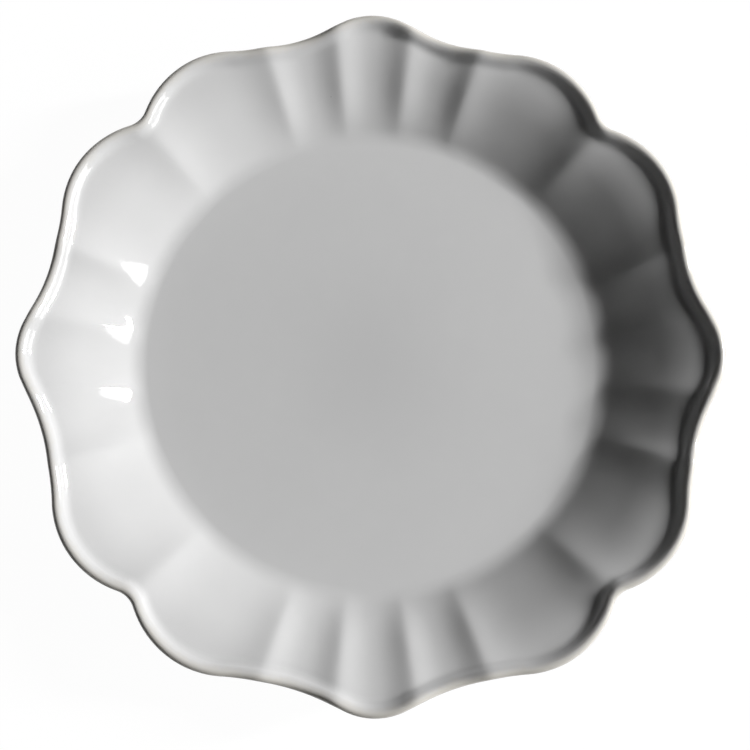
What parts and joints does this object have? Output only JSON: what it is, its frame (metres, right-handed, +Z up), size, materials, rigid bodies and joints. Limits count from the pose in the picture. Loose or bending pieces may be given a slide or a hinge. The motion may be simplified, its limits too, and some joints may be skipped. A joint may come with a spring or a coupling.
{
  "type": "scalloped dessert plate",
  "caption": "Round dessert plate with a flat well, a fluted rim, a scalloped upturned lip and a bare foot ring, in white glazed stoneware.",
  "frame": {"origin": "middle of the plane that the foot ring stands on", "axes": "+Z up through the middle of the well, +X and +Y towards two of the four narrow points"},
  "size_m": [0.22, 0.22, 0.0279],
  "materials": {
    "fired_clay": "bare fired clay, fine and matt",
    "white_glaze": "thick glossy white glaze, thin and warm in tone along the edge"
  },
  "bodies": {
    "root": {"stoneware_body": "fired_clay", "foot_ring": "fired_clay", "glaze_coat": "white_glaze", "recess_glaze": "white_glaze"}
  },
  "joints": []
}
